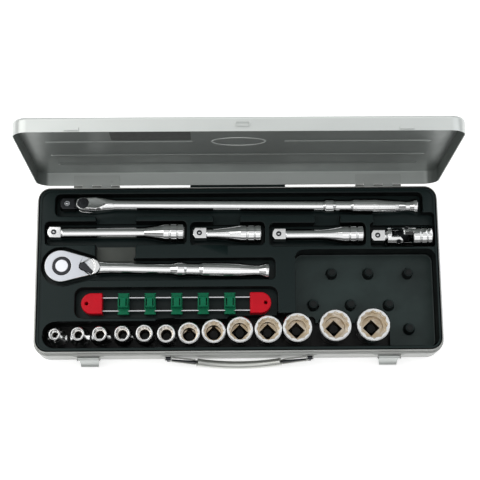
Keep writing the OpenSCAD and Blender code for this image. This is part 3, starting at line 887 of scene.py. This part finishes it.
@dataclass
class Workshop:
    """What every sub-assembly works with."""

    frame: dict
    dresser: Dresser

    def box(self, node: str) -> tuple[Vector, Vector]:
        """A node's lowest and highest corners in millimetres."""
        low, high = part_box(node)
        return low / MM, high / MM

    def middle_y(self, node: str) -> float:
        """The middle of a node across the case, in millimetres."""
        low, high = self.box(node)
        return (low.y + high.y) / 2

    def dress_node(
        self,
        node: str,
        body: str,
        finish: Finish,
        radius: float = 0.3,
        steps: int = 2,
        split: float | None = None,
        pitch: float = 0.0,
    ) -> bpy.types.Object:
        """Stands a softened copy in for one node.

        Args:
            node: The node.
            body: Its body.
            finish: Its finish.
            radius: Rounding of its edges in millimetres.
            steps: Faces across the rounding.
            split: Where a plane across Y cuts through all its holes, in millimetres, so that its flat
                triangles can be joined into plain faces; None leaves the triangles.
            pitch: Distance between the rings that are cut round a turned piece along X, in millimetres.

        Returns:
            The piece.
        """
        piece = copy_node(self.frame, node, f"{node}_finished", Topology.KEEP)
        if split is not None:
            seam_cuts(piece, 1, [split])
            if pitch:
                low, high = self.box(node)
                seam_cuts(piece, 0, np.arange(low.x + pitch / 2, high.x, pitch).tolist())
            join_flats(piece)
        if radius:
            soften(piece, radius, steps)
        polish(piece)
        self.dresser.hand_over(piece, body, finish, [node])
        return piece


@dataclass
class BallRing:
    """A thin ring round a drive square's ball; a dark one is painted shade standing for the gap round the
    ball.
    """

    shop: Workshop
    radius: float = 2.55
    thickness: float = 0.42
    ball_rise: float = 1.0

    def build(self, node: str, body: str, finish: Finish = Finish.DARK) -> None:
        """Rings a ball at the height where it leaves its square.

        Args:
            node: The ball's node.
            body: Its body.
            finish: The ring's finish.
        """
        low, high = self.shop.box(node)
        middle = (low + high) / 2
        ring = wire_ring(f"{node}_seat", self.radius, self.thickness, 28)
        stand(ring, (middle.x, middle.y, high.z - self.ball_rise))
        set_smooth(ring)
        self.shop.dresser.hand_over(ring, body, finish)


@dataclass
class CaseBase:
    """The base shell with its hinges, stop strip, brackets and pins."""

    shop: Workshop
    step: float = 29.0
    step_round: float = 1.0
    rim_round: float = 0.45
    foot_round: float = 1.4
    hardware_round: float = 0.25
    pin_round: float = 0.2

    def build(self) -> None:
        """Builds the base and its hardware."""
        self.shell()
        for node in ("base_hinge_leaves", "lid_stop_strip", "handle_brackets", "latch_brackets"):
            finish = Finish.TRAY if node == "lid_stop_strip" else Finish.BASE_PAINT
            self.shop.dress_node(node, "case", finish, self.hardware_round)
        for node in ("hinge_pins", "handle_pins", "latch_pins"):
            self.shop.dress_node(node, "case", Finish.STEEL, self.pin_round)

    def shell(self) -> None:
        """The pressed shell, with a rounded foot, step and rim."""
        low, high = self.shop.box("base_shell")
        piece = copy_node(self.shop.frame, "base_shell", "base_pressing")
        step = self.step

        def foot(first: np.ndarray, last: np.ndarray, out: np.ndarray) -> np.ndarray:
            """Edges round the underside."""
            return (first[:, 2] < low.z + 0.1) & (last[:, 2] < low.z + 0.1)

        def shoulder(first: np.ndarray, last: np.ndarray, out: np.ndarray) -> np.ndarray:
            """Outer edge of the step."""
            return (abs(first[:, 2] - step) < 0.1) & (abs(last[:, 2] - step) < 0.1) & out

        def rim(first: np.ndarray, last: np.ndarray, out: np.ndarray) -> np.ndarray:
            """Top edges of the rim."""
            return (first[:, 2] > high.z - 0.1) & (last[:, 2] > high.z - 0.1)

        soften(piece, self.foot_round, 4, foot)
        soften(piece, self.step_round, 3, shoulder)
        soften(piece, self.rim_round, 2, rim)
        polish(piece)
        # The shell takes the darker copy of the silver paint, as painted shade.
        self.shop.dresser.hand_over(piece, "case", Finish.BASE_PAINT, ["base_shell"])


@dataclass
class Tray:
    """The formed tray with its rounded pocket mouths and pegs."""

    shop: Workshop
    mouth_round: float = 1.1
    foot_round: float = 1.8
    peg_round: float = 0.6
    bay_floor: float = 12.0
    peg_height: float = 13.0
    land: float = 37.0
    cuts_across: Sequence[float] = (-192.3, -134.7, -69.6, -11.4, 41.7, 88.4, 139.3, 181.6)
    cuts_along: Sequence[float] = (-72.6, -37.4, -2.6, 40.9, 72.8)

    def build(self) -> None:
        """Builds the tray."""
        piece = copy_node(self.shop.frame, "tray", "formed_tray", Topology.KEEP)
        seam_cuts(piece, 0, self.cuts_across)
        seam_cuts(piece, 1, self.cuts_along)
        join_flats(piece)
        land = self.land

        def mouths(first: np.ndarray, last: np.ndarray, out: np.ndarray) -> np.ndarray:
            """Edges where a pocket meets the land."""
            return (abs(first[:, 2] - land) < 0.05) & (abs(last[:, 2] - land) < 0.05) & out

        def bay_foot(first: np.ndarray, last: np.ndarray, out: np.ndarray) -> np.ndarray:
            """Hollow corners where the bay's walls meet its floor."""
            low = (abs(first[:, 2] - self.bay_floor) < 0.05) & (abs(last[:, 2] - self.bay_floor) < 0.05)
            return low & ~out

        def peg_tops(first: np.ndarray, last: np.ndarray, out: np.ndarray) -> np.ndarray:
            """Top edges of the bay's pegs."""
            top = self.bay_floor + self.peg_height
            return (abs(first[:, 2] - top) < 0.05) & (abs(last[:, 2] - top) < 0.05) & out

        soften(piece, self.mouth_round, 3, mouths)
        soften(piece, self.foot_round, 3, bay_foot)
        soften(piece, self.peg_round, 2, peg_tops, 20.0)
        polish(piece)
        self.shop.dresser.hand_over(piece, "case", Finish.TRAY, ["tray"])


@dataclass
class Lid:
    """The pressed lid with its hinge leaves and label."""

    shop: Workshop
    panel_round: float = 3.2
    leaf_round: float = 0.25
    hinge_x: float = 157.0
    corner: float = 16.0
    catch: float = 1.6
    sheet: float = 1.1
    oval_height: float = 144.0
    oval_radius: float = 12.5
    oval_wire: float = 0.5
    oval_stretch: float = 2.2
    oblong_x: float = 3.0
    oblong_inset: float = 8.5
    oblong_sunk: float = 0.15
    oblong_radius: float = 2.0
    oblong_wire: float = 0.35
    oblong_half: float = 5.0
    spot_radius: float = 1.7
    spot_flatness: float = 0.07
    spot_offset: float = 16.5
    spot_inset: float = 7.0
    bead_radius: float = 4.0
    bead_depth: float = 0.55
    beads: Sequence[Point] = (
        (-123.0, 74.0, 144.0),
        (123.0, 74.0, 144.0),
        (0.0, 197.0, 99.0),
        (0.0, 193.0, 68.0),
    )

    def build(self) -> None:
        """Builds the lid."""
        self.shell()
        self.shop.dress_node("lid_hinge_leaves", "lid", Finish.PAINT, self.leaf_round)
        self.shop.dress_node("lid_label", "lid", Finish.LABEL, 0.0)
        self.oblong()
        self.oval()
        self.weld_spots()

    def raised(self, piece: bpy.types.Object) -> None:
        """Hands over a small raised shape."""
        set_smooth(piece)
        self.shop.dresser.hand_over(piece, "lid", Finish.PAINT)

    def oblong(self) -> None:
        """A small pressed ring of oblong shape on the outside of the front wall."""
        high = self.shop.box("lid_shell")[1]
        piece = wire_ring("lid_oblong", self.oblong_radius, self.oblong_wire)
        pull_apart(piece, self.oblong_half)
        self.raised(stand(piece, (self.oblong_x, high.y - self.oblong_inset, high.z - self.oblong_sunk)))

    def oval(self) -> None:
        """A plain oval pressed into the panel, seen from inside."""
        high = self.shop.box("lid_shell")[1]
        place = (0.0, high.y - self.sheet, self.oval_height)
        piece = wire_ring("lid_oval", self.oval_radius, self.oval_wire, 56)
        self.raised(stand(piece, place, (math.pi / 2, 0.0, 0.0), (self.oval_stretch, 1.0, 1.0)))

    def weld_spots(self) -> None:
        """Two flat round spots on each lid leaf."""
        low, high = self.shop.box("lid_hinge_leaves")
        spots = []
        for side in (-1, 1):
            for offset in (-self.spot_offset, self.spot_offset):
                centre = (side * self.hinge_x + offset, low.y + self.spot_inset, high.z + 0.02)
                spots.append(ball("spot", centre, self.spot_radius, (1.0, 1.0, self.spot_flatness)))
        self.raised(joined("lid_leaf_spots", spots))

    def shell(self) -> None:
        """The pressed shell, rounded where the panel turns into the walls."""
        low, high = self.shop.box("lid_shell")
        piece = copy_node(self.shop.frame, "lid_shell", "lid_pressing")
        back = high.y

        def panel_edge(first: np.ndarray, last: np.ndarray, out: np.ndarray) -> np.ndarray:
            """Edges round the outside of the panel."""
            return (first[:, 1] > back - 0.1) & (last[:, 1] > back - 0.1) & out

        soften(piece, self.panel_round, 4, panel_edge)
        for middle, half, height in self.beads:
            carve(piece, self.bead_tools((middle, back, height), half))
        polish(piece)
        self.shop.dresser.hand_over(piece, "lid", Finish.PAINT, ["lid_shell"])
        wall_top = (high.x, high.y, high.z - self.catch)
        # The lid's own paint, with painted shade over the inner faces of its hollow.
        piece.data.materials[0] = LidPaint(tuple(low), wall_top, self.corner).make()

    def bead_tools(self, centre: Point, half: float) -> list[bpy.types.Object]:
        """Shapes that press one bead's hollow into the outside of the panel.

        Args:
            centre: Middle of the bead on the outer face, in millimetres.
            half: Half the bead's straight length.

        Returns:
            A round bar and its two rounded ends.
        """
        x, y, z = centre
        y += self.bead_radius - self.bead_depth
        tools = [drum("bead_bar", (x - half, y, z), (x + half, y, z), self.bead_radius)]
        tools += [ball("bead_end", (x + side * half, y, z), self.bead_radius) for side in (-1, 1)]
        return tools


@dataclass
class Fittings:
    """The carrying handle and the two latches."""

    shop: Workshop
    droop: float = math.radians(16.2)
    drop: float = 10.6
    tuck: float = 1.0
    stretch: float = 0.84
    loop_half: float = 2.5
    wire: float = 0.85
    grip_round: float = 1.0
    sheet_round: float = 0.25

    def build(self) -> None:
        """Builds the handle and latches."""
        self.shop.dress_node("handle_grip", "handle", Finish.GRIP, self.grip_round, 3)
        self.shop.dress_node("handle_straps", "handle", Finish.DARK, self.sheet_round)
        self.loops()
        for side in ("left", "right"):
            self.shop.dress_node(f"latch_{side}", f"latch_{side}", Finish.PAINT, self.sheet_round)

    def loops(self) -> None:
        """A stretched wire loop round each strap, from beside its bracket to the grip."""
        reach = self.shop.box("handle_grip")[1].x - self.tuck
        pin_low, pin_high = self.shop.box("handle_pins")
        pivot = (pin_low + pin_high) / 2
        sine, cosine = math.sin(self.droop), math.cos(self.droop)
        end = Vector((reach, pivot.y - self.drop * sine, pivot.z - self.drop * cosine))
        start = end.lerp(Vector((pin_high.x, pivot.y, pivot.z)), self.stretch)
        middle = (start + end) / 2
        across = Vector((0.0, cosine, -sine))
        rings = []
        for side in (-1, 1):
            along = Vector((side * (end.x - start.x), end.y - start.y, end.z - start.z))
            turn = Matrix((along.normalized(), across, along.normalized().cross(across))).transposed()
            ring = wire_ring("handle_loop", self.loop_half, self.wire, 40, 10)
            pull_apart(ring, along.length / 2 - self.loop_half)
            rings.append(stand(ring, (side * middle.x, middle.y, middle.z), turn.to_euler()))
        piece = joined("handle_loops", rings)
        set_smooth(piece)
        self.shop.dresser.hand_over(piece, "handle", Finish.GRIP)


@dataclass
class Ratchet:
    """The ratchet wrench."""

    shop: Workshop
    lean: float = 0.3
    pitch: float = 4.0
    body_round: float = 0.8
    cover_round: float = 0.2
    gear_round: float = 0.15

    def build(self) -> None:
        """Builds the ratchet."""
        split = self.shop.middle_y("ratchet_ring") - self.lean
        self.shop.dress_node("ratchet_body", "ratchet", Finish.RATCHET, self.body_round, 3, split, self.pitch)
        self.shop.dress_node("ratchet_cover", "ratchet", Finish.SATIN, self.cover_round)
        self.shop.dress_node("ratchet_ring", "ratchet", Finish.DARK)
        self.shop.dress_node("ratchet_gear", "ratchet_drive", Finish.DISC, self.gear_round)
        self.shop.dress_node("ratchet_ball", "ratchet_drive", Finish.CHROME, 0.0)
        self.shop.dress_node("ratchet_pawl", "ratchet_pawl", Finish.DARK)
        self.shop.dress_node("ratchet_lever", "ratchet_reverser", Finish.DARK)


@dataclass
class BreakerBar:
    """The flex-head bar."""

    shop: Workshop
    pitch: float = 4.0
    bar_round: float = 0.4
    pin_round: float = 0.2
    ring_radius: float = 2.5
    ring_thickness: float = 0.3

    def build(self) -> None:
        """Builds the bar."""
        middle = self.shop.middle_y("breaker_pin")
        self.shop.dress_node("breaker_bar", "breaker", Finish.CHROME, self.bar_round, 2, middle, self.pitch)
        self.shop.dress_node("breaker_pin", "breaker", Finish.DARK, self.pin_round)
        self.shop.dress_node("breaker_drive", "breaker_head", Finish.DARK)
        self.shop.dress_node("breaker_ball", "breaker_head", Finish.STEEL, 0.0)
        # A pale satin ring round the breaker's ball, on its dark drive.
        ball_ring = BallRing(self.shop, self.ring_radius, self.ring_thickness)
        ball_ring.build("breaker_ball", "breaker_head", Finish.SATIN)


@dataclass
class Extensions:
    """The three extension bars and the universal joint."""

    shop: Workshop
    sizes: Sequence[int] = (150, 75, 100)
    pitch: float = 3.0
    edge_round: float = 0.25

    def build(self) -> None:
        """Builds the bars and the joint."""
        for size in self.sizes:
            node = f"extension_{size}"
            self.turned(node, node, f"{node}_ball")
            self.ball_with_ring(f"{node}_ball", node)
        self.turned("joint_drive_yoke", "joint_drive", "joint_ball")
        self.ball_with_ring("joint_ball", "joint_drive")
        self.shop.dress_node("joint_block", "joint_middle", Finish.DARK, self.edge_round)
        self.turned("joint_socket_yoke", "joint_end", "joint_ball")

    def turned(self, node: str, body: str, in_line: str) -> None:
        """Dresses a turned piece.

        Args:
            node: The piece's node.
            body: Its body.
            in_line: A node on the same centre line.
        """
        middle = self.shop.middle_y(in_line)
        self.shop.dress_node(node, body, Finish.CHROME, self.edge_round, 2, middle, self.pitch)

    def ball_with_ring(self, node: str, body: str) -> None:
        """Dresses a drive ball and rings it."""
        self.shop.dress_node(node, body, Finish.STEEL, 0.0)
        # Painted shade: a dark ring round the ball stands for the gap it sits in.
        BallRing(self.shop).build(node, body)


@dataclass
class SocketRail:
    """The rail with its five clips."""

    shop: Workshop
    clips: int = 5
    rod_round: float = 0.2
    end_round: float = 1.3
    clip_round: float = 0.35

    def build(self) -> None:
        """Builds the rail."""
        self.shop.dress_node("rail_rods", "rail", Finish.STEEL, self.rod_round)
        middle = self.shop.middle_y("rail_rods")
        for side in ("left", "right"):
            self.shop.dress_node(f"rail_end_{side}", "rail", Finish.RED, self.end_round, 3, middle)
        for number in range(1, self.clips + 1):
            self.shop.dress_node(f"rail_clip_{number}", f"clip_{number}", Finish.GREEN, self.clip_round)


@dataclass
class Sockets:
    """The thirteen sockets."""

    shop: Workshop
    edge_round: float = 0.2
    bore_share: float = 0.6
    bright_depth: float = 9.0

    def build(self) -> None:
        """Builds every socket."""
        for node in sorted(n for n in self.shop.frame["nodes"] if n.startswith("socket_")):
            piece = self.shop.dress_node(node, node, Finish.CHROME, self.edge_round)
            low, high = self.shop.box(node)
            size = float(node.rsplit("_", 1)[1])
            middle = (low + high) / 2
            plating = SocketPlating((middle.x, middle.y), size * self.bore_share, high.z - self.bright_depth)
            piece.data.materials[0] = plating.make()


# ---------------------------------------------------------------- studio


@dataclass(frozen=True)
class Lamp:
    """A square area light that faces the case, with its place and side in metres and its power in watts."""

    name: str
    place: Point
    size: float
    power: float
    colour: Point

    def hang(self) -> None:
        """Adds the light."""
        data = bpy.data.lights.new(self.name, "AREA")
        data.size = self.size
        data.energy = self.power
        data.color = self.colour
        lamp = bpy.data.objects.new(self.name, data)
        lamp.location = self.place
        aim = Vector((0.0, 0.0, 0.03)) - Vector(self.place)
        lamp.rotation_euler = aim.to_track_quat("-Z", "Y").to_euler()
        bpy.context.scene.collection.objects.link(lamp)


@dataclass
class Studio:
    """The floor, the lights and the camera."""

    lens: float = 94.58
    eye: Point = (-0.0162, -0.2961, 1.3868)
    yaw: float = -3.168
    pitch: float = 13.677
    roll: float = 2.721
    floor_side: float = 24.0
    floor_drop: float = 0.0004
    floor_glow: float = 0.5
    room_light: float = 0.75
    sky: Sequence[tuple[float, float]] = (
        (0.0, 0.85),
        (0.1, 0.75),
        (0.2, 0.06),
        (0.35, 0.1),
        (0.5, 0.7),
        (0.7, 0.4),
        (0.86, 0.12),
        (0.93, 0.95),
        (1.0, 1.1),
    )
    lights: Sequence[Lamp] = (
        Lamp("key", (-1.1, 0.35, 1.3), 1.5, 12.0, (1.0, 0.99, 0.97)),
        Lamp("fill", (1.2, 0.45, 1.2), 1.5, 7.0, (0.97, 0.98, 1.0)),
        Lamp("back", (0.0, 1.6, 1.3), 1.6, 8.0, (1.0, 1.0, 1.0)),
        Lamp("top", (0.0, -0.95, 1.6), 1.4, 5.0, (1.0, 1.0, 1.0)),
    )

    def build(self) -> None:
        """Builds the studio."""
        self.camera()
        self.floor()
        self.world()
        for lamp in self.lights:
            lamp.hang()
        bpy.context.scene.view_settings.view_transform = "Standard"

    def camera(self) -> None:
        """Places the camera."""
        turns = ((self.yaw, "Z"), (self.pitch, "X"), (self.roll, "Z"))
        matrix = Matrix.Translation(self.eye)
        for angle, axis in turns:
            matrix = matrix @ Matrix.Rotation(math.radians(angle), 4, axis)
        data = bpy.data.cameras.new("camera")
        data.lens = self.lens
        data.sensor_width = 36.0
        camera = bpy.data.objects.new("camera", data)
        camera.matrix_world = matrix
        bpy.context.scene.collection.objects.link(camera)
        bpy.context.scene.camera = camera

    def floor(self) -> None:
        """Lays a wide pale floor under the case."""
        bpy.ops.mesh.primitive_plane_add(size=self.floor_side, location=(0.0, 0.0, -self.floor_drop))
        plane = named("floor")
        nodes = Nodes("floor_paper")
        nodes.set(Base_Color=(0.95, 0.95, 0.95, 1.0), Roughness=0.9)
        nodes.set(Emission_Color=(1.0, 1.0, 1.0, 1.0), Emission_Strength=self.floor_glow)
        plane.data.materials.append(nodes.material)

    def world(self) -> None:
        """Lights the room softly with bands of grey, from the horizon at 0 to overhead at 1."""
        world = bpy.data.worlds.new("room")
        bpy.context.scene.world = world
        world.use_nodes = True
        tree = world.node_tree
        background = tree.nodes["Background"]
        coordinates = tree.nodes.new("ShaderNodeTexCoord")
        split = tree.nodes.new("ShaderNodeSeparateXYZ")
        ramp = tree.nodes.new("ShaderNodeValToRGB")
        tree.links.new(coordinates.outputs["Generated"], split.inputs[0])
        tree.links.new(split.outputs["Z"], ramp.inputs[0])
        tree.links.new(ramp.outputs[0], background.inputs["Color"])
        while len(ramp.color_ramp.elements) < len(self.sky):
            ramp.color_ramp.elements.new(0.5)
        for element, (height, grey) in zip(ramp.color_ramp.elements, self.sky):
            element.position = height
            element.color = (grey, grey, grey, 1.0)
        background.inputs["Strength"].default_value = self.room_light


def main() -> None:
    """Loads the frame, builds every sub-assembly and sets the studio."""
    logging.basicConfig(level=logging.INFO, format="%(name)s: %(message)s")
    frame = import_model()
    shop = Workshop(frame, Dresser())
    Studio().build()
    for part in (CaseBase, Tray, Lid, Fittings, Ratchet, BreakerBar, Extensions, SocketRail, Sockets):
        part(shop).build()
        LOG.info("%s built", part.__name__)


if __name__ == "__main__":
    main()
